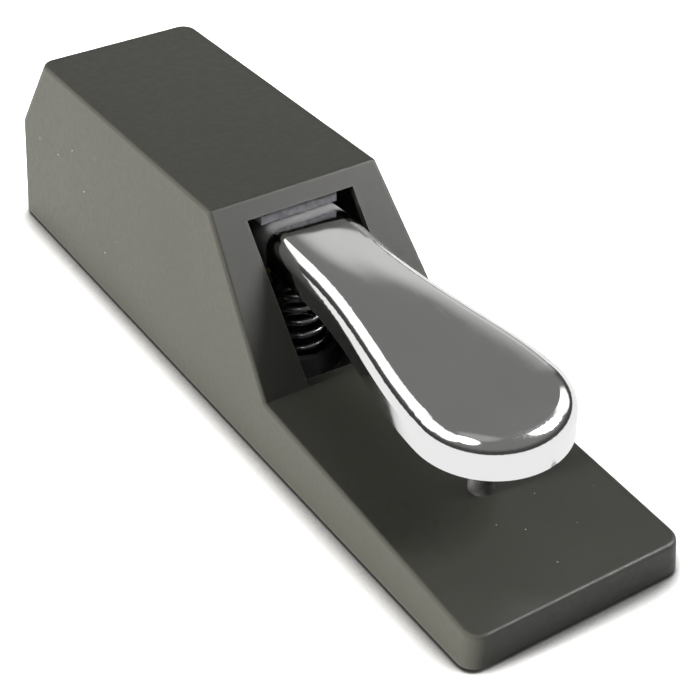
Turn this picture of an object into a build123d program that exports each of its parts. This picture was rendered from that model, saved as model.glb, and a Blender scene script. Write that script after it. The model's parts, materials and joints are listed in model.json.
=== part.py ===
from build123d import *
from math import radians, sin
import os

# Piano-style sustain pedal for an electronic keyboard: a one-piece moulded shell with a low
# sloping deck in front and a tall housing behind, and a plated cast treadle that hinges inside
# the housing. Millimetres, +Z up, toe of the treadle towards -Y, cable outlet towards +Y.
# Every function works with Z = 0 at the shell's bottom edge. The last step lifts the whole
# assembly by the mat's thickness, so the origin is the middle of the footprint on the floor.

# Shell
BASE_WIDTH = 68.0
LENGTH = 272.0
SHELL_HEIGHT = 61.0
SIDE_DRAFT = 6.3           # how far each side leans in between the bottom edge and the top face
DECK_FRONT_HEIGHT = 10.2
DECK_REAR_HEIGHT = 17.5    # where the deck meets the foot of the housing
HOUSING_FOOT_Y = -36.0
TOP_FRONT_Y = -1.5
TOP_REAR_Y = 116.5
REAR_WALL_HEIGHT = 34.2    # the upright rear wall; above it the back slopes in
WALL = 2.4
EDGE_RADIUS = 1.3
CORNER_RADIUS = 4.8
WINDOW_HALF_WIDTH = 17.5
WINDOW_TOP = 56.5

# Floor parts
PLATE_THICKNESS = 1.5
PLATE_GAP = 0.3
MAT_THICKNESS = 1.4
MAT_INSET = 1.6
HEAD_DEPTH = 1.3           # of the flush screws under the plate

# Treadle and arm
PIVOT_Y = 85.0
PIVOT_Z = 41.0
PEDAL_TRAVEL_DEG = 4.1
TREADLE_SLOPE = 0.068      # rise of the top face per millimetre towards the housing
TREADLE_DEPTH = 10.7
BEND_Y = -12.0             # the top face bends down into the housing here
BEND_TOP = 52.9
ARM_HALF_WIDTH = 14.0
ARM_START_Y = -26.0        # the sides run straight from here into the housing
SHOULDER_Y = 6.0           # the arm narrows here, inside the housing
BEND_RADIUS = 30.0
ARM_REAR_HALF_WIDTH = 10.5
FOOT_HALF_WIDTH = 22.2
FOOT_CENTRE_Y = -96.2
FOOT_TIP_LENGTH = 22.0     # from the widest place to the tip of the toe
TREADLE_EDGE_RADIUS = 5.0
TREADLE_WALL = 3.2
TREADLE_SKIN = 4.2
PIVOT_BOSS_RADIUS = 9.0

# Pivot
SHAFT_RADIUS = 4.0
RUNNING_CLEARANCE = 0.05
BUSH_RADIUS = 5.5
BUSH_LENGTH = 8.0
BUSH_FLANGE = 1.0
WASHER_THICKNESS = 0.95
EAR_INNER_X = 12.8
EAR_THICKNESS = 2.5
BRACKET_HALF_DEPTH = 10.0

# Stops and return spring
STOP_GAP = 0.3
POST_Y = -94.0
POST_RADIUS = 3.6
STEM_RADIUS = 2.4
PAD_THICKNESS = 3.0
PAD_FRONT_Y = -4.0
PAD_REAR_Y = 6.0
SPRING_Y = -2.0
SPRING_RADIUS = 7.6        # to the middle of the wire
SPRING_WIRE_RADIUS = 0.9
SPRING_TURNS = 8.5
SPRING_SEAT_Z = 4.0
SPRING_CAP_THICKNESS = 1.6
SPRING_CAP_RADIUS = 9.6

# Switch board
BOARD_HALF_WIDTH = 20.0
BOARD_FRONT_Y = 40.0
BOARD_REAR_Y = 70.0
BOARD_BOTTOM = 12.5
BOARD_THICKNESS = 1.6
SWITCH_Y = 60.0
SWITCH_SIZE = 13.0
SWITCH_HEIGHT = 12.5
PLUNGER_RADIUS = 3.1
PLUNGER_CLEARANCE = 0.08
POLARITY_Y = 47.5
POLARITY_TRAVEL = 3.0

# Cable outlet
OUTLET_Z = 15.0
CABLE_RADIUS = 2.5
CLAMP_Y = 114.0

FRONT = -LENGTH / 2
REAR = LENGTH / 2
HALF_WIDTH = BASE_WIDTH / 2
BASE_SCREWS = [(x, y) for y in (-121.0, 24.0, 121.0) for x in (-24.5, 24.5)]
BOARD_SCREWS = [(x, y) for y in (BOARD_FRONT_Y + 4, BOARD_REAR_Y - 4) for x in (-16.5, 16.5)]
BRACKET_SCREWS = [(x, PIVOT_Y + y) for y in (-5.5, 5.5) for x in (-7.0, 7.0)]
CLAMP_SCREWS = [(-8.5, CLAMP_Y), (8.5, CLAMP_Y)]


def block(x, y, z):
    """A box between two limits on each axis."""
    centre = Pos((x[0] + x[1]) / 2, (y[0] + y[1]) / 2, (z[0] + z[1]) / 2)
    return centre * Box(x[1] - x[0], y[1] - y[0], z[1] - z[0])


def upright(x, y, radius, low, high):
    """A vertical cylinder between two heights."""
    return Pos(x, y, (low + high) / 2) * Cylinder(radius, high - low)


def crossways(y, z, radius, x_low, x_high):
    """A cylinder along X."""
    return Pos((x_low + x_high) / 2, y, z) * Rot(0, 90, 0) * Cylinder(radius, x_high - x_low)


def lengthways(x, z, radius, y_low, y_high):
    """A cylinder along Y."""
    return Pos(x, (y_low + y_high) / 2, z) * Rot(90, 0, 0) * Cylinder(radius, y_high - y_low)


def side_prism(points, half_width=60.0):
    """A prism across the whole width from an outline in Y and Z."""
    return extrude(Plane.YZ * make_face(Polyline(*points, close=True)), half_width, both=True)


def deck_height(y):
    """Height of the deck's top face."""
    share = (y - FRONT) / (HOUSING_FOOT_Y - FRONT)
    return DECK_FRONT_HEIGHT + share * (DECK_REAR_HEIGHT - DECK_FRONT_HEIGHT)


def shell_form(inset=0.0, bottom=0.0):
    """The shell's solid outer form, or the same form shrunk by inset and reaching lower."""
    lean = SIDE_DRAFT / SHELL_HEIGHT
    side = Polyline(
        (FRONT, bottom),
        (REAR, bottom),
        (REAR, REAR_WALL_HEIGHT),
        (TOP_REAR_Y, SHELL_HEIGHT),
        (TOP_FRONT_Y, SHELL_HEIGHT),
        (HOUSING_FOOT_Y, DECK_REAR_HEIGHT),
        (FRONT, DECK_FRONT_HEIGHT),
        close=True,
    )
    low = HALF_WIDTH - lean * bottom
    high = HALF_WIDTH - SIDE_DRAFT
    end = Polyline((-low, bottom), (low, bottom), (high, SHELL_HEIGHT), (-high, SHELL_HEIGHT), close=True)
    side_face = make_face(side)
    end_face = make_face(end)
    if inset:
        side_face = offset(side_face, -inset, kind=Kind.INTERSECTION)
        end_face = offset(end_face, -inset, kind=Kind.INTERSECTION)
    along = extrude(Plane.YZ * side_face, BASE_WIDTH, both=True)
    across = extrude(Plane.XZ * end_face, LENGTH, both=True)
    return along & across


def rounded_form():
    """The outer form with its corners and edges rounded, and its bottom edge left sharp."""
    form = shell_form()
    corners = [e for e in form.edges() if abs(e.tangent_at(0.5).Z) > 0.5 and abs(e.center().Y) > 120]
    form = fillet(corners, CORNER_RADIUS)
    edges = []
    for edge in form.edges():
        middle = edge.center()
        at_bottom = middle.Z < 0.1
        at_foot = abs(middle.Y - HOUSING_FOOT_Y) < 0.1 and abs(edge.tangent_at(0.5).X) > 0.9
        on_corner = abs(middle.Y) > 118 and edge.length > 3 and abs(edge.tangent_at(0.5).Z) > 0.5
        if not (at_bottom or at_foot or on_corner):
            edges.append(edge)
    return fillet(edges, EDGE_RADIUS)


def cavity():
    """The hollow inside the shell, open at the bottom, with the ribs and bosses left standing."""
    hollow = shell_form(inset=WALL, bottom=-10.0)
    skin = shell_form(inset=WALL / 2, bottom=-10.0)
    standing = [deck_ribs(), stop_rib(), outlet_boss()]
    standing += [screw_boss(x, y) for x, y in BASE_SCREWS]
    for piece in standing:
        hollow -= piece & skin
    return hollow


def deck_ribs():
    """The lattice under the deck that carries the player's foot."""
    ribs = Part()
    for x in (-10.5, 10.5):
        ribs += block((x - 0.8, x + 0.8), (FRONT, HOUSING_FOOT_Y + 1), (PLATE_THICKNESS + 0.6, 30))
    for y in (-111.0, -86.0, -61.0):
        ribs += block((-HALF_WIDTH, HALF_WIDTH), (y - 0.8, y + 0.8), (PLATE_THICKNESS + 0.6, 30))
    around_post = upright(0, POST_Y, STEM_RADIUS + 2.6, 7.0, 30)
    return ribs + around_post


def stop_rib():
    """The rib behind the window's top edge that the felt pad is glued under."""
    low = arm_top(PAD_REAR_Y) + STOP_GAP + PAD_THICKNESS + 0.35
    return block((-13.5, 13.5), (PAD_FRONT_Y - 2, PAD_REAR_Y + 0.6), (low, SHELL_HEIGHT))


def outlet_boss():
    """The thicker patch of rear wall around the cable outlet."""
    return block((-10, 10), (REAR - 5.0, REAR), (OUTLET_Z - 9.5, OUTLET_Z + 9.5))


def screw_boss(x, y):
    """A post for a self-tapping screw, tied to the side wall by a web."""
    side = 1 if x > 0 else -1
    top = 16.0 if y > HOUSING_FOOT_Y else 30.0
    post = upright(x, y, 3.8, PLATE_THICKNESS, top)
    web_x = sorted((x, side * HALF_WIDTH))
    return post + block(web_x, (y - 1.0, y + 1.0), (PLATE_THICKNESS + 0.6, top))


def housing_shell():
    shell = rounded_form() - cavity()
    shell -= block(
        (-WINDOW_HALF_WIDTH, WINDOW_HALF_WIDTH),
        (HOUSING_FOOT_Y - 12, TOP_FRONT_Y + 1.4),
        (DECK_REAR_HEIGHT, WINDOW_TOP),
    )
    for x, y in BASE_SCREWS:
        shell -= upright(x, y, 1.4, 0, 10.0 if y > HOUSING_FOOT_Y else 8.0)
    shell -= upright(0, POST_Y, STEM_RADIUS, 0, 30)
    shell -= lengthways(0, OUTLET_Z, 5.0, REAR - 8, REAR + 1)
    shell -= lengthways(0, OUTLET_Z, 6.6, REAR - 1.5, REAR + 1)
    return shell


def floor_outline(half_width, half_length, radius):
    return RectangleRounded(2 * half_width, 2 * half_length, radius)


def countersink(x, y, head_radius, hole_radius):
    """A hole through the base plate with a cone for a flush head."""
    cone = Pos(x, y, HEAD_DEPTH / 2) * Cone(head_radius, hole_radius, HEAD_DEPTH)
    return upright(x, y, hole_radius, 0, PLATE_THICKNESS) + cone


def base_plate():
    inner = HALF_WIDTH - WALL - PLATE_GAP
    plate = extrude(floor_outline(inner, REAR - WALL - PLATE_GAP, 2.2), PLATE_THICKNESS)
    for x, y in BASE_SCREWS:
        plate -= countersink(x, y, 3.2, 1.9)
    for x, y in BRACKET_SCREWS:
        plate -= countersink(x, y, 2.9, 1.6)
    for x, y in BOARD_SCREWS + CLAMP_SCREWS:
        plate -= upright(x, y, 1.5, 0, PLATE_THICKNESS)
    slot = POLARITY_TRAVEL / 2 + 2.1
    return plate - block((-slot, slot), (POLARITY_Y - 2.2, POLARITY_Y + 2.2), (0, PLATE_THICKNESS))


def rubber_base_mat():
    outline = floor_outline(HALF_WIDTH - MAT_INSET, REAR - MAT_INSET, CORNER_RADIUS - MAT_INSET)
    mat = Pos(0, 0, -MAT_THICKNESS) * extrude(outline, MAT_THICKNESS)
    for x, y in BASE_SCREWS:
        mat -= upright(x, y, 4.2, -MAT_THICKNESS, 0)
    finger = POLARITY_TRAVEL / 2 + 3.6
    opening = block((-finger, finger), (POLARITY_Y - 3.6, POLARITY_Y + 3.6), (-MAT_THICKNESS, 0))
    return mat - fillet(opening.edges().filter_by(Axis.Z), 1.5)


def flush_screw(x, y, head_radius, shank_radius, top):
    """A countersunk screw driven upwards, its head flush with the plate's underside."""
    head = Pos(x, y, HEAD_DEPTH / 2) * Cone(head_radius, shank_radius, HEAD_DEPTH)
    screw = head + upright(x, y, shank_radius, 0, top)
    recess = upright(x, y, 0.55, 0, 0.7)
    for angle in (0, 90):
        recess += Pos(x, y, 0.3) * Rot(0, 0, angle) * Box(2 * shank_radius + 0.6, 0.7, 0.6)
    return screw - recess


def group(solids):
    """Identical fasteners as separate solids of one node."""
    return Compound(list(solids))


def base_screws():
    return group(flush_screw(x, y, 3.1, 1.35, 7.2) for x, y in BASE_SCREWS)


def bracket_screws():
    return group(flush_screw(x, y, 2.8, 1.5, 3.9) for x, y in BRACKET_SCREWS)


# Treadle

def arm_top(y):
    """Height of the treadle's top face on its centre line."""
    if y < BEND_Y:
        return BEND_TOP + TREADLE_SLOPE * (y - BEND_Y)
    share = (y - BEND_Y) / (PIVOT_Y - BEND_Y)
    return BEND_TOP + share * (PIVOT_Z + PIVOT_BOSS_RADIUS - 2.0 - BEND_TOP)


def arm_bottom(y):
    if y < BEND_Y:
        return arm_top(y) - TREADLE_DEPTH
    share = (y - BEND_Y) / (PIVOT_Y - BEND_Y)
    at_bend = BEND_TOP - TREADLE_DEPTH
    return at_bend + share * (PIVOT_Z - PIVOT_BOSS_RADIUS + 2.0 - at_bend)


def foot_outline(rear_y, inset=0.0):
    """Plan outline of the treadle, from the round toe back along the straight arm."""
    foot = FOOT_HALF_WIDTH - inset
    arm = ARM_HALF_WIDTH - inset
    toe = EllipticalCenterArc((0, FOOT_CENTRE_Y), foot, FOOT_TIP_LENGTH - inset, 180, arc_size=180)
    sides = []
    for side in (-1, 1):
        waist = Spline(
            (side * foot, FOOT_CENTRE_Y),
            (side * (18.9 - inset), -69.0),
            (side * (15.8 - inset), -51.0),
            (side * arm, ARM_START_Y),
            tangents=[(0, 1), (0, 1)],
        )
        sides += [waist, Line((side * arm, ARM_START_Y), (side * arm, rear_y))]
    return make_face(Curve() + [toe, *sides, Line((-arm, rear_y), (arm, rear_y))])


def arm_depth():
    """A prism between the treadle's top and bottom faces, rounded where it bends down."""
    tip = FOOT_CENTRE_Y - FOOT_TIP_LENGTH - 5
    stations = (tip, BEND_Y, PIVOT_Y)
    outline = [(y, arm_bottom(y)) for y in stations]
    outline += [(y, arm_top(y)) for y in reversed(stations)]
    prism = side_prism(outline)
    bends = [e for e in prism.edges() if abs(e.center().Y - BEND_Y) < 0.1]
    bends = [e for e in bends if abs(e.tangent_at(0.5).X) > 0.9]
    return fillet(bends, BEND_RADIUS)


def treadle():
    """The cast treadle and its arm, hollow under the foot, with a landing boss for the post."""
    foot = extrude(foot_outline(SHOULDER_Y), 80) & arm_depth()
    casting = fillet([e for e in foot.edges() if is_top_rim(e)], TREADLE_EDGE_RADIUS)
    rear_arm = block((-ARM_REAR_HALF_WIDTH, ARM_REAR_HALF_WIDTH), (SHOULDER_Y, PIVOT_Y), (0, 80))
    casting += rear_arm & arm_depth()
    casting += crossways(PIVOT_Y, PIVOT_Z, PIVOT_BOSS_RADIUS, -ARM_REAR_HALF_WIDTH, ARM_REAR_HALF_WIDTH)
    casting -= treadle_pocket()
    casting += upright(0, SPRING_Y, 4.6, arm_bottom(SPRING_Y) - 4.0, arm_bottom(SPRING_Y) + 2.0)
    return casting - crossways(PIVOT_Y, PIVOT_Z, BUSH_RADIUS, -20, 20)


def is_top_rim(edge):
    """Whether an edge lies round the treadle's top face, open at the shoulder."""
    middle = edge.center()
    across = abs(edge.tangent_at(0.5).X) > 0.99 and middle.Y > HOUSING_FOOT_Y
    return abs(middle.Z - arm_top(middle.Y)) < 1.5 and not across


def treadle_pocket():
    """The hollow under the foot, with a rib along it and the landing boss left standing."""
    rear_y = -24.0
    tip = FOOT_CENTRE_Y - FOOT_TIP_LENGTH
    ceiling = [(y, arm_top(y) - TREADLE_SKIN) for y in (rear_y, tip)]
    outline = [(tip, 10.0), (rear_y, 10.0), *ceiling]
    pocket = extrude(foot_outline(rear_y, TREADLE_WALL), 60) & side_prism(outline)
    pocket -= block((-1.4, 1.4), (tip, rear_y), (arm_bottom(tip) + 2.5, 60))
    return pocket - upright(0, POST_Y, 7.0, 0, 60)


def bush(side):
    """A flanged plain bearing pressed into one end of the arm's pivot boss."""
    outer = side * ARM_REAR_HALF_WIDTH
    sleeve = sorted((outer, outer - side * BUSH_LENGTH))
    flange = sorted((outer, outer + side * BUSH_FLANGE))
    ring = crossways(PIVOT_Y, PIVOT_Z, BUSH_RADIUS, *sleeve)
    ring += crossways(PIVOT_Y, PIVOT_Z, 7.4, *flange)
    return ring - crossways(PIVOT_Y, PIVOT_Z, SHAFT_RADIUS + RUNNING_CLEARANCE, -20, 20)


def clip_place(side):
    """Where a retaining clip's groove starts and ends along the shaft."""
    inner = EAR_INNER_X + EAR_THICKNESS + 0.1
    return sorted((side * inner, side * (inner + 0.9)))


def pivot_shaft():
    shaft = crossways(PIVOT_Y, PIVOT_Z, SHAFT_RADIUS, -18.0, 18.0)
    shaft = chamfer(shaft.edges().filter_by(GeomType.CIRCLE), 0.5)
    for side in (-1, 1):
        x_low, x_high = clip_place(side)
        groove = crossways(PIVOT_Y, PIVOT_Z, SHAFT_RADIUS + 1, x_low, x_high)
        shaft -= groove - crossways(PIVOT_Y, PIVOT_Z, SHAFT_RADIUS - 0.8, x_low, x_high)
    return shaft


def shaft_clips():
    """An open ring in each groove of the shaft."""
    clips = []
    for side in (-1, 1):
        x_low, x_high = clip_place(side)
        clip = crossways(PIVOT_Y, PIVOT_Z, SHAFT_RADIUS + 2.2, x_low, x_high)
        clip -= crossways(PIVOT_Y, PIVOT_Z, SHAFT_RADIUS - 0.8, x_low, x_high)
        mouth = block((x_low, x_high), (PIVOT_Y - 2.4, PIVOT_Y + 2.4), (PIVOT_Z, PIVOT_Z + 8))
        clips.append(clip - mouth)
    return group(clips)


def thrust_washers():
    washers = []
    for side in (-1, 1):
        x_low, x_high = sorted((side * EAR_INNER_X, side * (EAR_INNER_X - WASHER_THICKNESS)))
        ring = crossways(PIVOT_Y, PIVOT_Z, 7.4, x_low, x_high)
        washers.append(ring - crossways(PIVOT_Y, PIVOT_Z, SHAFT_RADIUS + 0.1, -20, 20))
    return group(washers)


def pivot_bracket():
    """A U of folded steel whose ears carry the shaft."""
    outer = EAR_INNER_X + EAR_THICKNESS
    y = (PIVOT_Y - BRACKET_HALF_DEPTH, PIVOT_Y + BRACKET_HALF_DEPTH)
    floor = PLATE_THICKNESS
    channel = block((-outer, outer), y, (floor, PIVOT_Z))
    channel = fillet(channel.edges().filter_by(Axis.Y).sort_by(Axis.Z)[:2], EAR_THICKNESS + 0.8)
    inside = block((-EAR_INNER_X, EAR_INNER_X), (y[0] - 1, y[1] + 1), (floor + EAR_THICKNESS, PIVOT_Z + 20))
    inside = fillet(inside.edges().filter_by(Axis.Y).sort_by(Axis.Z)[:2], 0.8)
    tops = crossways(PIVOT_Y, PIVOT_Z, BRACKET_HALF_DEPTH, -outer, outer)
    bracket = channel + tops - inside
    bracket -= crossways(PIVOT_Y, PIVOT_Z, SHAFT_RADIUS + 0.02, -20, 20)
    for x, screw_y in BRACKET_SCREWS:
        bracket -= upright(x, screw_y, 1.6, floor, floor + EAR_THICKNESS)
    return bracket


# Stops and return spring

def stop_bumper():
    """The rubber post on the deck that the treadle lands on, with its barbed stem below."""
    front = POST_Y - POST_RADIUS
    drop = (PIVOT_Y - front) * sin(radians(PEDAL_TRAVEL_DEG))
    top = arm_bottom(front) - drop - STOP_GAP
    post = upright(0, POST_Y, POST_RADIUS, 8.0, top)
    post = fillet(post.edges().sort_by(Axis.Z)[-1], 1.1) - shell_form()
    stem = upright(0, POST_Y, STEM_RADIUS - 0.05, 4.4, deck_height(POST_Y) + 1.0)
    barb = Pos(0, POST_Y, 5.7) * Cone(1.9, STEM_RADIUS + 0.8, 2.6)
    return post + stem + barb


def up_stop_pad():
    """The felt strip that the arm rests against when the treadle is up."""
    low = arm_top(PAD_FRONT_Y) + STOP_GAP
    outline = [
        (PAD_FRONT_Y, low),
        (PAD_REAR_Y, arm_top(PAD_REAR_Y) + STOP_GAP),
        (PAD_REAR_Y, arm_top(PAD_REAR_Y) + STOP_GAP + PAD_THICKNESS + 0.35),
        (PAD_FRONT_Y, arm_top(PAD_REAR_Y) + STOP_GAP + PAD_THICKNESS + 0.35),
    ]
    return side_prism(outline, 12.5)


def spring_seat():
    """The moulded cup that keeps the spring's lower end in place."""
    floor = PLATE_THICKNESS
    cup = upright(0, SPRING_Y, 11.5, floor, 8.0)
    cup -= upright(0, SPRING_Y, 9.4, SPRING_SEAT_Z, 8.0)
    post = upright(0, SPRING_Y, 5.6, floor, 13.0)
    return cup + chamfer(post.edges().sort_by(Axis.Z)[-1], 1.2)


def spring_top():
    """Height of the spring's upper end, just under the cap on the arm."""
    return arm_bottom(SPRING_Y + SPRING_CAP_RADIUS) - 0.05 - SPRING_CAP_THICKNESS


def spring_cap():
    """The nylon washer between the spring and the arm."""
    low = spring_top()
    cap = upright(0, SPRING_Y, SPRING_CAP_RADIUS, low, low + SPRING_CAP_THICKNESS)
    cap += upright(0, SPRING_Y, 6.2, low - 2.0, low)
    return cap - upright(0, SPRING_Y, 4.65, low - 4, low + 4)


def coil(radius, wire, turns, low, high, x, y):
    """A coil spring with its ends ground flat."""
    pitch = (high - low - 2 * wire) / turns
    path = Helix(pitch, pitch * turns, radius)
    section = Plane(origin=path @ 0, z_dir=path % 0) * Circle(wire)
    return Pos(x, y, low + wire) * sweep(section, path)


def return_spring():
    high = spring_top() - 0.05
    return coil(SPRING_RADIUS, SPRING_WIRE_RADIUS, SPRING_TURNS, SPRING_SEAT_Z + 0.05, high, 0, SPRING_Y)


# Switch board

def board_top():
    return BOARD_BOTTOM + BOARD_THICKNESS


def switch_board():
    board = block(
        (-BOARD_HALF_WIDTH, BOARD_HALF_WIDTH),
        (BOARD_FRONT_Y, BOARD_REAR_Y),
        (BOARD_BOTTOM, board_top()),
    )
    board = fillet(board.edges().filter_by(Axis.Z), 1.5)
    for x, y in BOARD_SCREWS:
        board -= upright(x, y, 1.5, BOARD_BOTTOM, board_top())
    return board


def board_spacers():
    floor = PLATE_THICKNESS
    tubes = [upright(x, y, 2.8, floor, BOARD_BOTTOM) for x, y in BOARD_SCREWS]
    return group(t - upright(x, y, 1.45, floor, BOARD_BOTTOM) for t, (x, y) in zip(tubes, BOARD_SCREWS))


def pan_screw(x, y, under_head, bottom, head_radius, shank_radius):
    """A pan-head screw driven downwards, with a cross recess."""
    head = upright(x, y, head_radius, under_head, under_head + 1.8)
    head = fillet(head.edges().sort_by(Axis.Z)[-1], 0.7)
    screw = head + upright(x, y, shank_radius, bottom, under_head)
    for angle in (0, 90):
        slot = Pos(x, y, under_head + 1.5) * Rot(0, 0, angle) * Box(1.3 * head_radius, 0.6, 1.0)
        screw -= slot
    return screw


def board_screws():
    return group(pan_screw(x, y, board_top(), 4.0, 2.5, 1.4) for x, y in BOARD_SCREWS)


def contact_switch_body():
    """The push switch under the arm, bored for its plunger."""
    half = SWITCH_SIZE / 2
    low = board_top()
    body = block((-half, half), (SWITCH_Y - half, SWITCH_Y + half), (low, low + SWITCH_HEIGHT))
    body = fillet(body.edges().filter_by(Axis.Z), 0.8)
    body = chamfer(body.faces().sort_by(Axis.Z)[-1].edges(), 0.6)
    bore = PLUNGER_RADIUS + PLUNGER_CLEARANCE
    return body - upright(0, SWITCH_Y, bore, low + 2.0, low + SWITCH_HEIGHT)


def plunger_bottom():
    return board_top() + 8.0


def contact_plunger():
    tip = arm_bottom(SWITCH_Y) - 0.7
    plunger = upright(0, SWITCH_Y, PLUNGER_RADIUS, plunger_bottom(), tip)
    return fillet(plunger.edges().sort_by(Axis.Z)[-1], 1.4)


def contact_spring():
    low = board_top() + 2.05
    return coil(2.2, 0.3, 5.5, low, plunger_bottom() - 0.05, 0, SWITCH_Y)


def polarity_switch_body():
    """The slide switch hanging under the board, slotted for its knob."""
    low = BOARD_BOTTOM - 7.0
    body = block((-7.0, 7.0), (POLARITY_Y - 3.4, POLARITY_Y + 3.4), (low, BOARD_BOTTOM))
    body = fillet(body.edges().filter_by(Axis.Z), 0.6)
    reach = POLARITY_TRAVEL / 2 + 2.6
    return body - block((-reach, reach), (POLARITY_Y - 1.9, POLARITY_Y + 1.9), (low, low + 4.0))


def polarity_slider():
    """The slide switch's knob, reached through the slot in the base and kept off the floor."""
    x = -POLARITY_TRAVEL / 2
    low = BOARD_BOTTOM - 7.0
    carriage = block((x - 2.2, x + 2.2), (POLARITY_Y - 1.6, POLARITY_Y + 1.6), (low + 0.3, low + 3.6))
    knob = block((x - 1.5, x + 1.5), (POLARITY_Y - 1.5, POLARITY_Y + 1.5), (-0.7, low + 0.3))
    for groove_x in (x - 0.7, x + 0.7):
        groove = (groove_x - 0.2, groove_x + 0.2)
        knob -= block(groove, (POLARITY_Y - 2, POLARITY_Y + 2), (-0.7, -0.4))
    return carriage + knob


def cable_terminal():
    """The two-way header that the cable's leads plug into."""
    low = board_top()
    header = block((9.0, 18.0), (BOARD_FRONT_Y + 10.5, BOARD_FRONT_Y + 16.5), (low, low + 6.0))
    header -= block((9.8, 17.2), (BOARD_FRONT_Y + 11.3, BOARD_FRONT_Y + 15.7), (low + 1.2, low + 6.0))
    pin_y = (BOARD_FRONT_Y + 13.2, BOARD_FRONT_Y + 13.84)
    for x in (12.25, 14.75):
        header += block((x - 0.32, x + 0.32), pin_y, (low + 1, low + 5))
    return header


# Cable outlet

def cable_grommet():
    """The bushing in the rear wall, its flange sunk flush in the outside face."""
    face = REAR - 0.1
    grommet = lengthways(0, OUTLET_Z, 4.95, REAR - 6.6, face - 1.4)
    flange = lengthways(0, OUTLET_Z, 6.45, face - 1.4, face)
    flange = fillet(flange.edges().sort_by(Axis.Y)[-1], 0.5)
    lip = lengthways(0, OUTLET_Z, 6.0, REAR - 6.6, REAR - 5.1)
    return grommet + flange + lip - lengthways(0, OUTLET_Z, CABLE_RADIUS, REAR - 10, REAR + 1)


def cable_clamp():
    """The strap screwed over the cable behind its outlet."""
    floor = PLATE_THICKNESS
    y = (CLAMP_Y - 4.0, CLAMP_Y + 4.0)
    axis_z = floor + CABLE_RADIUS
    strap = block((-12.0, 12.0), y, (floor, floor + 1.2))
    strap += lengthways(0, axis_z, CABLE_RADIUS + 1.3, *y)
    strap -= lengthways(0, axis_z, CABLE_RADIUS + 0.1, y[0] - 1, y[1] + 1)
    strap -= block((-12.0, 12.0), (y[0] - 1, y[1] + 1), (floor - 5, floor))
    strap -= block((-CABLE_RADIUS - 0.1, CABLE_RADIUS + 0.1), (y[0] - 1, y[1] + 1), (floor, axis_z))
    for x, screw_y in CLAMP_SCREWS:
        strap -= upright(x, screw_y, 1.5, floor, floor + 1.2)
    return strap


def clamp_screws():
    return group(pan_screw(x, y, PLATE_THICKNESS + 1.2, 0.1, 2.7, 1.4) for x, y in CLAMP_SCREWS)


def pieces():
    """Every node of the assembly by name."""
    return {
        "housing_shell": housing_shell(),
        "base_plate": base_plate(),
        "rubber_base_mat": rubber_base_mat(),
        "base_screws": base_screws(),
        "treadle": treadle(),
        "pivot_bush_left": bush(-1),
        "pivot_bush_right": bush(1),
        "pivot_shaft": pivot_shaft(),
        "shaft_clips": shaft_clips(),
        "thrust_washers": thrust_washers(),
        "pivot_bracket": pivot_bracket(),
        "bracket_screws": bracket_screws(),
        "stop_bumper": stop_bumper(),
        "up_stop_pad": up_stop_pad(),
        "spring_seat": spring_seat(),
        "spring_cap": spring_cap(),
        "return_spring": return_spring(),
        "switch_board": switch_board(),
        "board_spacers": board_spacers(),
        "board_screws": board_screws(),
        "contact_switch_body": contact_switch_body(),
        "contact_plunger": contact_plunger(),
        "contact_spring": contact_spring(),
        "polarity_switch_body": polarity_switch_body(),
        "polarity_slider": polarity_slider(),
        "cable_terminal": cable_terminal(),
        "cable_grommet": cable_grommet(),
        "cable_clamp": cable_clamp(),
        "clamp_screws": clamp_screws(),
    }


def main():
    os.makedirs("parts", exist_ok=True)
    for name, shape in pieces().items():
        export_step(Pos(0, 0, MAT_THICKNESS) * shape, f"parts/{name}.step")


if __name__ == "__main__":
    main()
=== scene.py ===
import json
import math

import bmesh
import bpy
from mathutils import Matrix, Vector


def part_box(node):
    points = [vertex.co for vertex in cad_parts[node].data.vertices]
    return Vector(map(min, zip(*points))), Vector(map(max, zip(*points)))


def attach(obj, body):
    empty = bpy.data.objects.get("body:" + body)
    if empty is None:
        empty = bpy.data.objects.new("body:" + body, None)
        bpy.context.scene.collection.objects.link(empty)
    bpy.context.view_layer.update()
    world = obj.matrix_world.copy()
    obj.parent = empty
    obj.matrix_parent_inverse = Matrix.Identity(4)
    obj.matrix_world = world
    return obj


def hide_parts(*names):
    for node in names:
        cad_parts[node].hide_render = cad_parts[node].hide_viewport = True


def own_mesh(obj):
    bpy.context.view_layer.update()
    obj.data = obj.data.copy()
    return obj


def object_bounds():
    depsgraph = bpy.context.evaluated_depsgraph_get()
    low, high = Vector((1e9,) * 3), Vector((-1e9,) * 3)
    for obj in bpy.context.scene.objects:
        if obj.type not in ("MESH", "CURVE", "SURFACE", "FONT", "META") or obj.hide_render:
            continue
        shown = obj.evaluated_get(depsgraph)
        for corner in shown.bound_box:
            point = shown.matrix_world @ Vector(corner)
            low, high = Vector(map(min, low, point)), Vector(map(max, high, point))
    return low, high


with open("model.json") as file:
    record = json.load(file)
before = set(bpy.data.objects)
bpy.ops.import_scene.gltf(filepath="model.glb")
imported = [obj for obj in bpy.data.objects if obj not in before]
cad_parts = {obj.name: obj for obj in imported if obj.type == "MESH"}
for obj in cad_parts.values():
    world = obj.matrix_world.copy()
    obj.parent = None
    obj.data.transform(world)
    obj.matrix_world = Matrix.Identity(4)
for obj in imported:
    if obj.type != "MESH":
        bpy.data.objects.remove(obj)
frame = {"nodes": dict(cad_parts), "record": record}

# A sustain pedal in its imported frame, in metres: +Z up, toe towards -Y, cable outlet towards +Y.
# The CAD nodes keep their shapes and get their finishes here. The two springs and the rubber mat
# are replaced by finer meshes in the same places.

CAD_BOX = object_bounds()
CAD_CENTRE = (CAD_BOX[0] + CAD_BOX[1]) / 2
MM = 0.001

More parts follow.
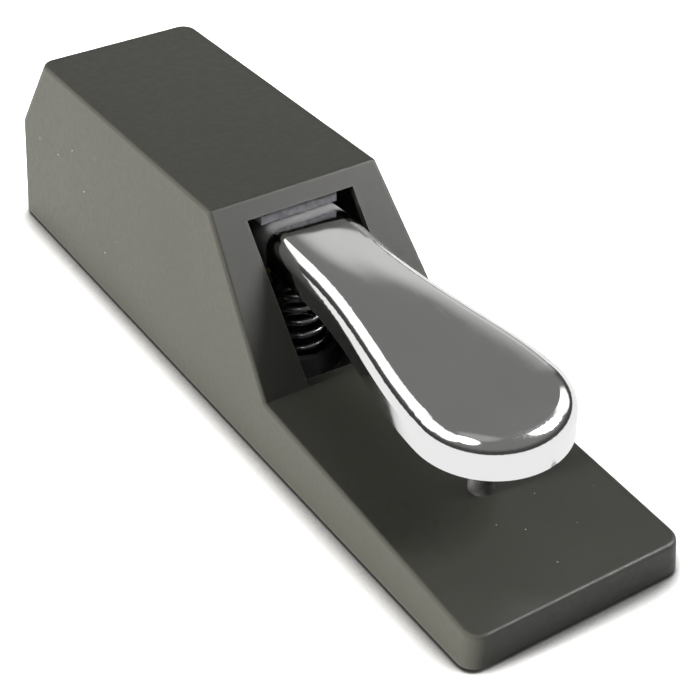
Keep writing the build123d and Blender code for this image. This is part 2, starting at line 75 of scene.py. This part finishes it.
# Camera
CAMERA_AZIMUTH = -31.403
CAMERA_ELEVATION = 35.153
CAMERA_ROLL = -1.482
CAMERA_DISTANCE = 0.4389
CAMERA_TARGET = CAD_CENTRE + Vector((-0.0076, -0.0423, 0.0002))
CAMERA_LENS = 81.64

# Treadle plating: how far the polished face leans out at its edges and down at the bend
CROWN_LEAN = 0.28
CROWN_POWER = 1.7
FOOT_Y, FOOT_HALF_WIDTH = -90.0 * MM, 22.2 * MM
ARM_Y, ARM_HALF_WIDTH = -34.0 * MM, 14.0 * MM
TOE_TIP_Y = -116.0 * MM
TOE_START_Y = -96.0 * MM
BEND_LEAN = 0.11
BEND_FROM = -0.062
BEND_TO = -0.018
# From here into the housing the casting is unpolished
SATIN_FROM = -10.5 * MM
SATIN_TO = -7.0 * MM
SATIN_ROUGHNESS = 0.48

# Springs: wire radius, turns, and the share of the height left at the joint's far limit
RETURN_WIRE, RETURN_TURNS, RETURN_KEEP = 0.9 * MM, 8.5, 0.79
CONTACT_WIRE, CONTACT_TURNS, CONTACT_KEEP = 0.3 * MM, 5.5, 0.70

# Rubber mat
MAT_RIB = 0.45 * MM
MAT_RIB_PITCH = 3.0 * MM
MAT_CORNER = 3.2 * MM
SCREW_HOLE = 4.2 * MM
# half-widths across and along the pedal; ribs stop at the margins
SCREW_MARGIN = (5.4 * MM, 5.2 * MM)
FINGER_HOLE = (5.1 * MM, 3.6 * MM)
FINGER_CORNER = 1.5 * MM
FINGER_MARGIN = (6.2 * MM, 4.8 * MM)

# Studio
FLOOR_SIZE = 6.0
FLOOR_DROP = 0.00005
# reach of the contact shadow painted into the floor's colour
PAINTED_CONTACT_SHADOW = 0.016
FLOOR_LIFT = 0.2
FLOOR_MIRRORED = 1.08
FLOOR_HOLE_INSET = 3.0 * MM
SIDE_FILL = 31.0
SIDE_FILL_AZIMUTH = -98.0
SIDE_FILL_ELEVATION = 8.0
SIDE_FILL_ANGLE = 14.0
SIDE_FILL_COLOUR = (1.0, 0.97, 0.93)
DOME_COLOUR = (1.0, 0.995, 0.985, 1)
DOME = 0.20
LOW_BAND = 0.06
BAND_FROM = 0.04
BAND_TO = 0.12
DOME_FROM = 0.15
DOME_TO = 0.45
GROUND_GLOW = 1.0
# name, azimuth, elevation, half-width of the bright core, width of its soft edge, brightness
PANELS = [
    ("strip_rear", -150, 35, 16, 4, 1.5),
    ("strip_left", -122, 37, 18, 4, 1.5),
    ("strip_middle", -92, 41, 17, 4, 1.5),
    ("strip_front", -60, 50, 13, 4, 3.4),
    ("right_front", 62, 41, 9, 6, 42.0),
    ("right_bank", 92, 30, 12, 8, 1.6),
    ("rear_wall", 145, 13, 15, 11, 0.66),
    ("overhead", -30, 76, 8, 20, 0.38),
]


# Small helpers

def direction(azimuth, elevation):
    """A unit vector: azimuth 0 points to -Y and 90 to +X, elevation is above the floor."""
    a, e = math.radians(azimuth), math.radians(elevation)
    return Vector((math.sin(a) * math.cos(e), -math.cos(a) * math.cos(e), math.sin(e)))


def mesh_object(name, bm, smooth=True):
    """A new object from a bmesh, which is freed."""
    mesh = bpy.data.meshes.new(name)
    bmesh.ops.recalc_face_normals(bm, faces=bm.faces)
    bm.to_mesh(mesh)
    bm.free()
    for polygon in mesh.polygons:
        polygon.use_smooth = smooth
    obj = bpy.data.objects.new(name, mesh)
    bpy.context.scene.collection.objects.link(obj)
    return obj


# Materials

class Finish:
    """A Principled material and short ways to add procedural detail to it."""

    def __init__(self, name, **uniform):
        self.material = bpy.data.materials.new(name)
        self.material.use_nodes = True
        self.nodes = self.material.node_tree.nodes
        self.links = self.material.node_tree.links
        self.shader = self.nodes["Principled BSDF"]
        for socket, value in uniform.items():
            self.shader.inputs[socket.replace("_", " ")].default_value = value
        self.place = self.nodes.new("ShaderNodeTexCoord").outputs["Object"]

    def math(self, operation, *values):
        node = self.nodes.new("ShaderNodeMath")
        node.operation = operation
        for i, value in enumerate(values):
            self.feed(node.inputs[i], value)
        return node.outputs[0]

    def feed(self, socket, value):
        if isinstance(value, bpy.types.NodeSocket):
            self.links.new(value, socket)
        else:
            socket.default_value = value

    def axes(self, vector):
        """The X, Y and Z outputs of a vector."""
        node = self.nodes.new("ShaderNodeSeparateXYZ")
        self.links.new(vector, node.inputs[0])
        return node.outputs

    def stretched(self, scale):
        node = self.nodes.new("ShaderNodeVectorMath")
        node.operation = "MULTIPLY"
        self.links.new(self.place, node.inputs[0])
        node.inputs[1].default_value = scale
        return node.outputs[0]

    def noise(self, size, detail=2.0, stretch=(1, 1, 1), roughness=0.5):
        """Noise from 0 to 1 with features of about this size in metres."""
        node = self.nodes.new("ShaderNodeTexNoise")
        self.links.new(self.stretched([1 / size * s for s in stretch]), node.inputs["Vector"])
        node.inputs["Scale"].default_value = 1.0
        node.inputs["Detail"].default_value = detail
        node.inputs["Roughness"].default_value = roughness
        return node.outputs["Fac"]

    def cells(self, size, stretch=(1, 1, 1), feature="F1"):
        node = self.nodes.new("ShaderNodeTexVoronoi")
        node.feature = feature
        self.links.new(self.stretched([1 / size * s for s in stretch]), node.inputs["Vector"])
        node.inputs["Scale"].default_value = 1.0
        return node.outputs["Distance"]

    def span(self, value, low, high, to_low=0.0, to_high=1.0):
        node = self.nodes.new("ShaderNodeMapRange")
        node.interpolation_type = "SMOOTHSTEP"
        for socket, v in zip(node.inputs, (value, low, high, to_low, to_high)):
            self.feed(socket, v)
        return node.outputs[0]

    def blend(self, share, one, two):
        node = self.nodes.new("ShaderNodeMix")
        node.data_type = "RGBA"
        self.feed(node.inputs["Factor"], share)
        for socket, value in (("A", one), ("B", two)):
            colours = [s for s in node.inputs if s.name == socket and s.type == "RGBA"]
            self.feed(colours[0], value if isinstance(value, bpy.types.NodeSocket) else (*value, 1))
        return [s for s in node.outputs if s.type == "RGBA"][0]

    def edges(self, radius, low=0.75, high=0.98):
        """1 on convex and concave edges within about this radius, 0 on open faces."""
        bevel = self.nodes.new("ShaderNodeBevel")
        bevel.samples = 4
        bevel.inputs["Radius"].default_value = radius
        flat = self.nodes.new("ShaderNodeNewGeometry").outputs["True Normal"]
        dot = self.nodes.new("ShaderNodeVectorMath")
        dot.operation = "DOT_PRODUCT"
        self.links.new(bevel.outputs[0], dot.inputs[0])
        self.links.new(flat, dot.inputs[1])
        return self.span(dot.outputs["Value"], high, low)

    def bump(self, *layers, start=None):
        """Bumps from (height, depth in metres) pairs, the coarsest first, on a starting normal."""
        normal = start
        for height, depth in layers:
            node = self.nodes.new("ShaderNodeBump")
            node.inputs["Distance"].default_value = depth
            self.links.new(height, node.inputs["Height"])
            if normal is not None:
                self.links.new(normal, node.inputs["Normal"])
            normal = node.outputs[0]
        self.links.new(normal, self.shader.inputs["Normal"])

    def paint(self, colour, roughness):
        self.feed(self.shader.inputs["Base Color"], colour)
        self.feed(self.shader.inputs["Roughness"], roughness)
        return self.material


def moulded_shell():
    """Black moulded plastic: spark-eroded grain, faint flow marks, a painted highlight along its edges,
    and dust.
    """
    f = Finish("shell_plastic", Specular_IOR_Level=0.34, IOR=1.5)
    flow = f.noise(38 * MM, 3)
    mottle = f.noise(2.2 * MM, 3)
    grain = f.noise(0.42 * MM, 2, roughness=0.6)
    pits = f.cells(0.30 * MM)
    colour = f.blend(flow, (0.0125, 0.0128, 0.0102), (0.0160, 0.0160, 0.0136))
    colour = f.blend(f.span(mottle, 0.35, 0.75), colour, (0.0145, 0.0145, 0.0125))
    # painted highlight: a lighter colour along the convex and concave edges
    colour = f.blend(f.math("MULTIPLY", f.edges(0.7 * MM), 0.28), colour, (0.085, 0.084, 0.078))
    specks = f.span(f.cells(5.2 * MM), 0.045, 0.028)
    patches = f.span(f.noise(60 * MM, 1), 0.50, 0.62)
    dust = f.math("MULTIPLY", f.math("MULTIPLY", specks, patches), 0.55)
    colour = f.blend(dust, colour, (0.42, 0.42, 0.40))
    rough = f.math("ADD", f.span(mottle, 0.3, 0.7, 0.43, 0.50), f.span(grain, 0.3, 0.7, -0.03, 0.03))
    f.bump((mottle, 0.006 * MM), (pits, 0.014 * MM), (grain, 0.022 * MM))
    return f.paint(colour, rough)


def crowned(f):
    """The plated face's normal, leaning outwards at the rim and down at the bend, as a crown does."""
    normal = f.nodes.new("ShaderNodeNewGeometry").outputs["Normal"]
    across, along = f.axes(f.place)[:2]
    half = f.span(along, FOOT_Y, ARM_Y, FOOT_HALF_WIDTH, ARM_HALF_WIDTH)
    share = f.math("DIVIDE", across, half)
    lean_x = f.math("MULTIPLY", f.math("POWER", f.math("ABSOLUTE", share), CROWN_POWER), CROWN_LEAN)
    lean_x = f.math("MULTIPLY", lean_x, f.math("SIGN", share))
    bend = f.span(along, BEND_FROM, BEND_TO, 0.0, BEND_LEAN)
    toe = f.span(along, TOE_TIP_Y, TOE_START_Y, -CROWN_LEAN, 0.0)
    lean_y = f.math("ADD", bend, toe)
    lean = f.nodes.new("ShaderNodeCombineXYZ")
    upward = f.math("MAXIMUM", f.axes(normal)["Z"], 0.0)
    f.links.new(f.math("MULTIPLY", lean_x, upward), lean.inputs[0])
    f.links.new(f.math("MULTIPLY", lean_y, upward), lean.inputs[1])
    total = f.nodes.new("ShaderNodeVectorMath")
    f.links.new(normal, total.inputs[0])
    f.links.new(lean.outputs[0], total.inputs[1])
    unit = f.nodes.new("ShaderNodeVectorMath")
    unit.operation = "NORMALIZE"
    f.links.new(total.outputs[0], unit.inputs[0])
    return unit.outputs[0]


def chrome_plate():
    """Polished plating over a casting: faint waves, hairline marks and a little haze."""
    f = Finish("plated_casting", Metallic=1.0)
    haze = f.noise(26 * MM, 3)
    smears = f.noise(7 * MM, 3, stretch=(1, 0.35, 1))
    hairs = f.span(f.noise(0.5 * MM, 2, stretch=(1, 0.035, 1)), 0.60, 0.74)
    cross = f.span(f.noise(0.5 * MM, 2, stretch=(0.05, 1, 1)), 0.66, 0.78)
    pin_holes = f.span(f.cells(4.5 * MM), 0.030, 0.018)
    colour = f.blend(haze, (0.78, 0.785, 0.775), (0.83, 0.835, 0.83))
    colour = f.blend(f.math("MULTIPLY", pin_holes, 0.5), colour, (0.35, 0.34, 0.32))
    rough = f.span(smears, 0.3, 0.75, 0.07, 0.115)
    rough = f.math("ADD", rough, f.math("MULTIPLY", f.math("ADD", hairs, cross), 0.05))
    rough = f.span(f.axes(f.place)["Y"], SATIN_FROM, SATIN_TO, rough, SATIN_ROUGHNESS)
    f.bump((f.noise(11 * MM, 1), 0.010 * MM), (hairs, 0.0012 * MM), start=crowned(f))
    return f.paint(colour, rough)


def sheet_steel(name, colour):
    """Zinc-plated sheet: rolled grain, spangle and dull patches."""
    f = Finish(name, Metallic=1.0)
    rolled = f.noise(0.6 * MM, 3, stretch=(1, 0.06, 1))
    spangle = f.cells(3.2 * MM)
    dull = f.noise(14 * MM, 3)
    dark = tuple(0.78 * c for c in colour)
    tone = f.blend(f.span(spangle, 0.1, 0.7), colour, dark)
    tone = f.blend(f.math("MULTIPLY", f.span(dull, 0.5, 0.8), 0.4), tone, tuple(0.6 * c for c in colour))
    rough = f.math("ADD", f.span(dull, 0.3, 0.7, 0.30, 0.42), f.span(rolled, 0.3, 0.7, -0.05, 0.06))
    f.bump((dull, 0.01 * MM), (rolled, 0.006 * MM))
    return f.paint(tone, rough)


def turned_metal(name, colour, low, high, along=(1, 1, 1)):
    """Machined or drawn metal with fine tool marks."""
    f = Finish(name, Metallic=1.0)
    marks = f.noise(0.25 * MM, 2, stretch=along)
    film = f.noise(3 * MM, 3)
    tone = f.blend(film, colour, tuple(0.72 * c for c in colour))
    bright = tuple(min(1.0, 1.2 * c) for c in colour)
    tone = f.blend(f.math("MULTIPLY", f.edges(0.2 * MM), 0.3), tone, bright)
    rough = f.math("ADD", f.span(film, 0.3, 0.7, low, high), f.span(marks, 0.3, 0.7, -0.04, 0.05))
    f.bump((film, 0.004 * MM), (marks, 0.005 * MM))
    return f.paint(tone, rough)


def rubber(name, colour, sheen=0.2):
    """Matte moulded rubber with bloom and fine pits."""
    f = Finish(name, Specular_IOR_Level=0.35, IOR=1.52)
    bloom = f.noise(6 * MM, 4)
    pits = f.noise(0.35 * MM, 3, roughness=0.65)
    pale = tuple(c + 0.03 for c in colour)
    tone = f.blend(f.span(bloom, 0.35, 0.8), colour, pale)
    tone = f.blend(f.math("MULTIPLY", f.edges(0.4 * MM), sheen), tone, tuple(c + 0.06 for c in colour))
    rough = f.span(bloom, 0.3, 0.7, 0.66, 0.82)
    f.bump((bloom, 0.02 * MM), (pits, 0.05 * MM))
    return f.paint(tone, rough)


def pressed_felt():
    """Dark pressed wool: fibres lying every way, and a soft sheen."""
    f = Finish("stop_felt", Sheen_Weight=0.35, Sheen_Roughness=0.5, Specular_IOR_Level=0.15)
    one = f.noise(0.5 * MM, 3, stretch=(0.2, 1, 1))
    two = f.noise(0.5 * MM, 3, stretch=(1, 0.2, 1))
    clumps = f.noise(1.8 * MM, 3)
    fibres = f.math("MAXIMUM", one, two)
    tone = f.blend(f.span(clumps, 0.3, 0.7), (0.055, 0.054, 0.062), (0.105, 0.103, 0.115))
    tone = f.blend(f.span(fibres, 0.6, 0.85), tone, (0.20, 0.19, 0.21))
    f.bump((clumps, 0.12 * MM), (fibres, 0.10 * MM))
    return f.paint(tone, f.span(fibres, 0.3, 0.8, 0.98, 0.86))


def plastic(name, colour, rough_low, rough_high, waxy=0.0):
    """Small moulded parts: faint flow, sink marks and a satin skin."""
    f = Finish(name, Specular_IOR_Level=0.5, IOR=1.49, Subsurface_Weight=waxy, Subsurface_Scale=0.002)
    flow = f.noise(5 * MM, 3)
    skin = f.noise(0.3 * MM, 2)
    tone = f.blend(flow, colour, tuple(0.84 * c for c in colour))
    # a lighter colour along the edges
    edge_tint = tuple(min(1.0, 1.25 * c + 0.02) for c in colour)
    tone = f.blend(f.math("MULTIPLY", f.edges(0.25 * MM), 0.3), tone, edge_tint)
    rough = f.span(flow, 0.3, 0.7, rough_low, rough_high)
    f.bump((flow, 0.012 * MM), (skin, 0.012 * MM))
    return f.paint(tone, rough)


def circuit_board():
    """Green solder mask over copper tracks, with the weave of the laminate showing through."""
    f = Finish("board_laminate", Specular_IOR_Level=0.5, Coat_Weight=0.4, Coat_Roughness=0.2)
    weave_x = f.noise(0.6 * MM, 1, stretch=(1, 0.15, 1))
    weave_y = f.noise(0.6 * MM, 1, stretch=(0.15, 1, 1))
    weave = f.math("MAXIMUM", weave_x, weave_y)
    tracks = f.span(f.cells(4.5 * MM, feature="DISTANCE_TO_EDGE"), 0.16, 0.12)
    tone = f.blend(f.span(weave, 0.4, 0.8), (0.012, 0.105, 0.045), (0.022, 0.15, 0.065))
    tone = f.blend(f.math("MULTIPLY", tracks, 0.6), tone, (0.06, 0.28, 0.10))
    f.bump((tracks, 0.03 * MM), (weave, 0.008 * MM))
    return f.paint(tone, f.span(weave, 0.3, 0.8, 0.30, 0.42))


FINISHES = {
    "shell_plastic": moulded_shell,
    "plated_casting": chrome_plate,
    "zinc_steel": lambda: sheet_steel("zinc_steel", (0.60, 0.61, 0.62)),
    "mat_rubber": lambda: rubber("mat_rubber", (0.040, 0.040, 0.038)),
    "post_rubber": lambda: rubber("post_rubber", (0.006, 0.006, 0.006), 0.1),
    "screw_steel": lambda: turned_metal("screw_steel", (0.20, 0.20, 0.21), 0.32, 0.45),
    "bright_screw": lambda: turned_metal("bright_screw", (0.68, 0.69, 0.70), 0.22, 0.34),
    "sintered_bronze": lambda: turned_metal("sintered_bronze", (0.55, 0.36, 0.18), 0.40, 0.55),
    "ground_steel": lambda: turned_metal("ground_steel", (0.70, 0.71, 0.72), 0.14, 0.24, (0.1, 1, 1)),
    "spring_steel": lambda: turned_metal("spring_steel", (0.36, 0.36, 0.37), 0.24, 0.38),
    "stop_felt": pressed_felt,
    "nylon_natural": lambda: plastic("nylon_natural", (0.74, 0.71, 0.62), 0.34, 0.48, 0.15),
    "board_laminate": circuit_board,
    "spacer_brass": lambda: turned_metal("spacer_brass", (0.80, 0.58, 0.24), 0.20, 0.32),
    "switch_plastic": lambda: plastic("switch_plastic", (0.018, 0.018, 0.020), 0.30, 0.42),
    "plunger_plastic": lambda: plastic("plunger_plastic", (0.52, 0.035, 0.025), 0.26, 0.36),
    "header_plastic": lambda: plastic("header_plastic", (0.80, 0.77, 0.66), 0.32, 0.44, 0.1),
    "grommet_rubber": lambda: rubber("grommet_rubber", (0.016, 0.016, 0.016)),
}


def finish_cad_nodes():
    """Gives every carried-over node its slot's finish, and returns the finishes by slot."""
    made = {slot: build() for slot, build in FINISHES.items()}
    for row in frame["record"]["subparts"]:
        mesh = frame["nodes"][row["node"]].data
        mesh.materials.clear()
        mesh.materials.append(made[row["material_slot"]])
    return made


# Replaced pieces

def coil(name, centre, radius, wire, turns, low, high, sides=20, steps=64):
    """A coil spring whose end turns lie flat."""
    bm = bmesh.new()
    count = int(turns * steps)
    height = high - low - 2 * wire
    closed = 1.0 / turns
    rings = []
    for i in range(count + 1):
        share = i / count
        climb = min(max((share - 0.7 * closed) / (1 - 1.4 * closed), 0.0), 1.0)
        angle = 2 * math.pi * turns * share
        out = Vector((math.cos(angle), math.sin(angle), 0))
        middle = Vector((centre[0], centre[1], low + wire + height * climb)) + radius * out
        ring = []
        for k in range(sides):
            turn = 2 * math.pi * k / sides
            away = math.cos(turn) * out + math.sin(turn) * Vector((0, 0, 1))
            ring.append(bm.verts.new(middle + wire * away))
        rings.append(ring)
    for one, two in zip(rings, rings[1:]):
        for k in range(sides):
            j = (k + 1) % sides
            bm.faces.new((one[k], one[j], two[j], two[k]))
    bm.faces.new(reversed(rings[0]))
    bm.faces.new(rings[-1])
    return mesh_object(name, bm)


def spring_from_box(name, node, wire, turns, body, slot, finishes):
    """A coil in place of a CAD spring, attached to the given body."""
    low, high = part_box(node)
    centre = (low + high) / 2
    radius = (high.x - low.x) / 2 - wire
    obj = coil(name, centre, radius, wire, turns, low.z, high.z)
    obj.data.materials.append(finishes[slot])
    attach(obj, body)
    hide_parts(node)
    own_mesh(obj)


def clusters(node, gap=5 * MM):
    """Middle points, seen from above, of the separate fasteners in one CAD node."""
    points = [v.co for v in frame["nodes"][node].data.vertices]
    found = []
    for side in (-1, 1):
        row = sorted(p.y for p in points if p.x * side > 0)
        across = [p.x for p in points if p.x * side > 0]
        middle = (min(across) + max(across)) / 2
        start = row[0]
        for one, two in zip(row, row[1:] + [row[-1] + 1]):
            if two - one > gap:
                found.append((middle, (start + one) / 2))
                start = two
    return found


def rounded_rectangle(centre, half_x, half_y, radius, steps=8):
    points = []
    for quarter, (sx, sy) in enumerate(((1, 1), (-1, 1), (-1, -1), (1, -1))):
        for i in range(steps + 1):
            angle = math.pi / 2 * (quarter + i / steps)
            x = centre[0] + sx * (half_x - radius) + radius * math.cos(angle)
            points.append((x, centre[1] + sy * (half_y - radius) + radius * math.sin(angle)))
    return points


def circle(centre, radius, steps=40):
    turns = [2 * math.pi * i / steps for i in range(steps)]
    return [(centre[0] + radius * math.cos(t), centre[1] + radius * math.sin(t)) for t in turns]


def slab(outlines, low, high, rounding):
    """A flat plate with holes, from its outer outline and its hole outlines."""
    curve = bpy.data.curves.new("slab", "CURVE")
    curve.dimensions = "2D"
    curve.fill_mode = "BOTH"
    curve.bevel_depth = rounding
    curve.bevel_resolution = 2
    curve.extrude = (high - low) / 2 - rounding
    curve.offset = -rounding
    for outline in outlines:
        spline = curve.splines.new("POLY")
        spline.points.add(len(outline) - 1)
        for point, (x, y) in zip(spline.points, outline):
            point.co = (x, y, 0, 1)
        spline.use_cyclic_u = True
    obj = bpy.data.objects.new("slab", curve)
    bm = bmesh.new()
    bm.from_mesh(bpy.data.meshes.new_from_object(obj))
    bmesh.ops.translate(bm, verts=bm.verts, vec=(0, 0, (low + high) / 2))
    bpy.data.objects.remove(obj)
    return bm


def rib(bm, x_low, x_high, y, low, high):
    """One trapezoid bar across the mat, its narrow face downwards."""
    foot, root = 0.45 * MM, 0.8 * MM
    corners = [(-root, high), (-foot, low), (foot, low), (root, high)]
    ends = []
    for x, inset in ((x_low, 1), (x_high, -1)):
        shift = [0, inset * 0.35 * MM, inset * 0.35 * MM, 0]
        ends.append([bm.verts.new((x + dx, y + dy, z)) for dx, (dy, z) in zip(shift, corners)])
    for i in range(4):
        j = (i + 1) % 4
        bm.faces.new((ends[0][i], ends[0][j], ends[1][j], ends[1][i]))
    bm.faces.new(reversed(ends[0]))
    bm.faces.new(ends[1])


def rib_spans(y, half, holes):
    """The stretches of one rib across the mat that miss the holes."""
    spans = [(-half, half)]
    for (x, hole_y), reach_x, reach_y in holes:
        if abs(y - hole_y) < reach_y:
            cut = []
            for low, high in spans:
                cut += [(low, min(high, x - reach_x)), (max(low, x + reach_x), high)]
            spans = [(low, high) for low, high in cut if high - low > 2 * MM]
    return spans


def ribbed_mat(finishes):
    """The non-slip mat: a thin slab with holes and shallow ribs across its underside."""
    low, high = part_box("rubber_base_mat")
    screws = clusters("base_screws")
    finger_low, finger_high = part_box("polarity_switch_body")
    finger = (0.0, (finger_low.y + finger_high.y) / 2)
    outlines = [rounded_rectangle((0, 0), high.x, high.y, MAT_CORNER)]
    outlines += [circle(p, SCREW_HOLE) for p in screws]
    outlines.append(rounded_rectangle(finger, *FINGER_HOLE, FINGER_CORNER))
    bm = slab(outlines, low.z + MAT_RIB, high.z, 0.12 * MM)
    holes = [(p, *SCREW_MARGIN) for p in screws] + [(finger, *FINGER_MARGIN)]
    count = int((high.y - 4.5 * MM) / MAT_RIB_PITCH)
    for i in range(-count, count + 1):
        y = i * MAT_RIB_PITCH
        for x_low, x_high in rib_spans(y, high.x - 1.2 * MM, holes):
            rib(bm, x_low, x_high, y, low.z, low.z + MAT_RIB + 0.05 * MM)
    obj = mesh_object("ribbed_mat", bm, smooth=False)
    obj.data.materials.append(finishes["mat_rubber"])
    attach(obj, "housing")
    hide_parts("rubber_base_mat")


# Studio and camera

def add_floor():
    """A pale floor with a contact shadow painted into its colour close to the pedal, left open where the
    pedal stands so that its underside gets light.
    """
    bm = bmesh.new()
    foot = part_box("rubber_base_mat")[1]
    hole = (foot.x - FLOOR_HOLE_INSET, foot.y - FLOOR_HOLE_INSET)
    rings = []
    for half_x, half_y in ((FLOOR_SIZE / 2, FLOOR_SIZE / 2), hole):
        corners = [(-half_x, -half_y), (half_x, -half_y), (half_x, half_y), (-half_x, half_y)]
        rings.append([bm.verts.new((x, y, 0)) for x, y in corners])
    for i in range(4):
        j = (i + 1) % 4
        bm.faces.new((rings[0][i], rings[0][j], rings[1][j], rings[1][i]))
    floor = mesh_object("studio_floor", bm, smooth=False)
    f = Finish("studio_floor", Specular_IOR_Level=0.0)
    painted_shadow = f.nodes.new("ShaderNodeAmbientOcclusion")
    painted_shadow.samples = 12
    painted_shadow.inputs["Distance"].default_value = PAINTED_CONTACT_SHADOW
    pale = f.blend(f.noise(0.4, 2), (0.93, 0.93, 0.93), (0.95, 0.95, 0.95))
    # painted shadow: the floor's colour darkens towards black where the pedal is close by
    tone = f.blend(f.span(painted_shadow.outputs["AO"], 0.46, 0.98), (0.02, 0.02, 0.02), pale)
    f.feed(f.shader.inputs["Emission Color"], tone)
    f.shader.inputs["Emission Strength"].default_value = FLOOR_LIFT
    floor.data.materials.append(f.paint(tone, f.span(f.noise(0.05, 2), 0.3, 0.7, 0.9, 1.0)))
    seen_from_below = f.nodes.new("ShaderNodeNewGeometry").outputs["Backfacing"]
    above = f.math("SUBTRACT", 1.0, seen_from_below)
    f.feed(f.shader.inputs["Alpha"], above)
    # Mirrors see the floor at one fixed brightness, so that the plated sides don't burn out
    mirrored = f.nodes.new("ShaderNodeEmission")
    mirrored.inputs["Strength"].default_value = FLOOR_MIRRORED
    f.links.new(tone, mirrored.inputs["Color"])
    in_mirror = f.nodes.new("ShaderNodeLightPath").outputs["Is Glossy Ray"]
    mix = f.nodes.new("ShaderNodeMixShader")
    f.feed(mix.inputs[0], f.math("MULTIPLY", in_mirror, above))
    f.links.new(f.shader.outputs[0], mix.inputs[1])
    f.links.new(mirrored.outputs[0], mix.inputs[2])
    f.links.new(mix.outputs[0], f.nodes["Material Output"].inputs["Surface"])
    floor.location.z = -FLOOR_DROP


def add_studio_light():
    """A grey dome over a white ground, with soft bright banks around it and a dim band low down."""
    world = bpy.data.worlds.new("studio")
    world.use_nodes = True
    bpy.context.scene.world = world
    nodes, links = world.node_tree.nodes, world.node_tree.links
    towards = nodes.new("ShaderNodeTexCoord").outputs["Generated"]
    split = nodes.new("ShaderNodeSeparateXYZ")
    links.new(towards, split.inputs[0])

    def step(value, low, high, to_low, to_high):
        node = nodes.new("ShaderNodeMapRange")
        node.interpolation_type = "SMOOTHSTEP"
        for socket, v in zip(node.inputs, (value, low, high, to_low, to_high)):
            if isinstance(v, bpy.types.NodeSocket):
                links.new(v, socket)
            else:
                socket.default_value = v
        return node.outputs[0]

    def lobe(azimuth, elevation, core, edge):
        node = nodes.new("ShaderNodeVectorMath")
        node.operation = "DOT_PRODUCT"
        links.new(towards, node.inputs[0])
        node.inputs[1].default_value = direction(azimuth, elevation)
        outer = math.cos(math.radians(core + edge))
        return step(node.outputs["Value"], outer, math.cos(math.radians(core)), 0.0, 1.0)

    def combine(operation, one, two):
        node = nodes.new("ShaderNodeMath")
        node.operation = operation
        for socket, value in zip(node.inputs, (one, two)):
            if isinstance(value, bpy.types.NodeSocket):
                links.new(value, socket)
            else:
                socket.default_value = value
        return node.outputs[0]

    level = 0.0
    for _, *shape, brightness in PANELS:
        level = combine("MAXIMUM", level, combine("MULTIPLY", lobe(*shape), brightness))
    level = combine("MULTIPLY", level, step(split.outputs["Z"], BAND_FROM, BAND_TO, 0.0, 1.0))
    level = combine("MAXIMUM", level, step(split.outputs["Z"], DOME_FROM, DOME_TO, LOW_BAND, DOME))
    above = step(split.outputs["Z"], -0.004, 0.004, 0.0, 1.0)
    ground = combine("MULTIPLY", combine("SUBTRACT", 1.0, above), GROUND_GLOW)
    level = combine("ADD", combine("MULTIPLY", level, above), ground)
    background = nodes["Background"]
    links.new(level, background.inputs["Strength"])
    background.inputs["Color"].default_value = DOME_COLOUR


def add_side_fill():
    """A large soft light low on the left, which the plating doesn't mirror."""
    data = bpy.data.lights.new("side_fill", "SUN")
    data.energy = SIDE_FILL
    data.angle = math.radians(SIDE_FILL_ANGLE)
    data.color = SIDE_FILL_COLOUR
    lamp = bpy.data.objects.new("side_fill", data)
    towards = direction(SIDE_FILL_AZIMUTH, SIDE_FILL_ELEVATION)
    lamp.rotation_euler = towards.to_track_quat("Z", "Y").to_euler()
    lamp.visible_glossy = False
    bpy.context.scene.collection.objects.link(lamp)


def add_camera():
    a, e, r = (math.radians(v) for v in (CAMERA_AZIMUTH, CAMERA_ELEVATION, CAMERA_ROLL))
    back = direction(CAMERA_AZIMUTH, CAMERA_ELEVATION)
    level = Vector((math.cos(a), math.sin(a), 0))
    rise = back.cross(level)
    right = math.cos(r) * level + math.sin(r) * rise
    up = math.cos(r) * rise - math.sin(r) * level
    data = bpy.data.cameras.new("camera")
    data.lens = CAMERA_LENS
    data.sensor_width = 36
    data.clip_start = 0.01
    data.clip_end = 50
    camera = bpy.data.objects.new("camera", data)
    place = Matrix((right, up, back)).transposed().to_4x4()
    place.translation = CAMERA_TARGET + CAMERA_DISTANCE * back
    camera.matrix_world = place
    bpy.context.scene.collection.objects.link(camera)
    bpy.context.scene.camera = camera


finishes = finish_cad_nodes()
spring_from_box(
    "return_coil", "return_spring", RETURN_WIRE, RETURN_TURNS,
    "housing", "spring_steel", finishes,
)
spring_from_box(
    "contact_coil", "contact_spring", CONTACT_WIRE, CONTACT_TURNS,
    "housing", "spring_steel", finishes,
)
ribbed_mat(finishes)
add_floor()
add_studio_light()
add_side_fill()
add_camera()
bpy.context.scene.view_settings.view_transform = "Standard"
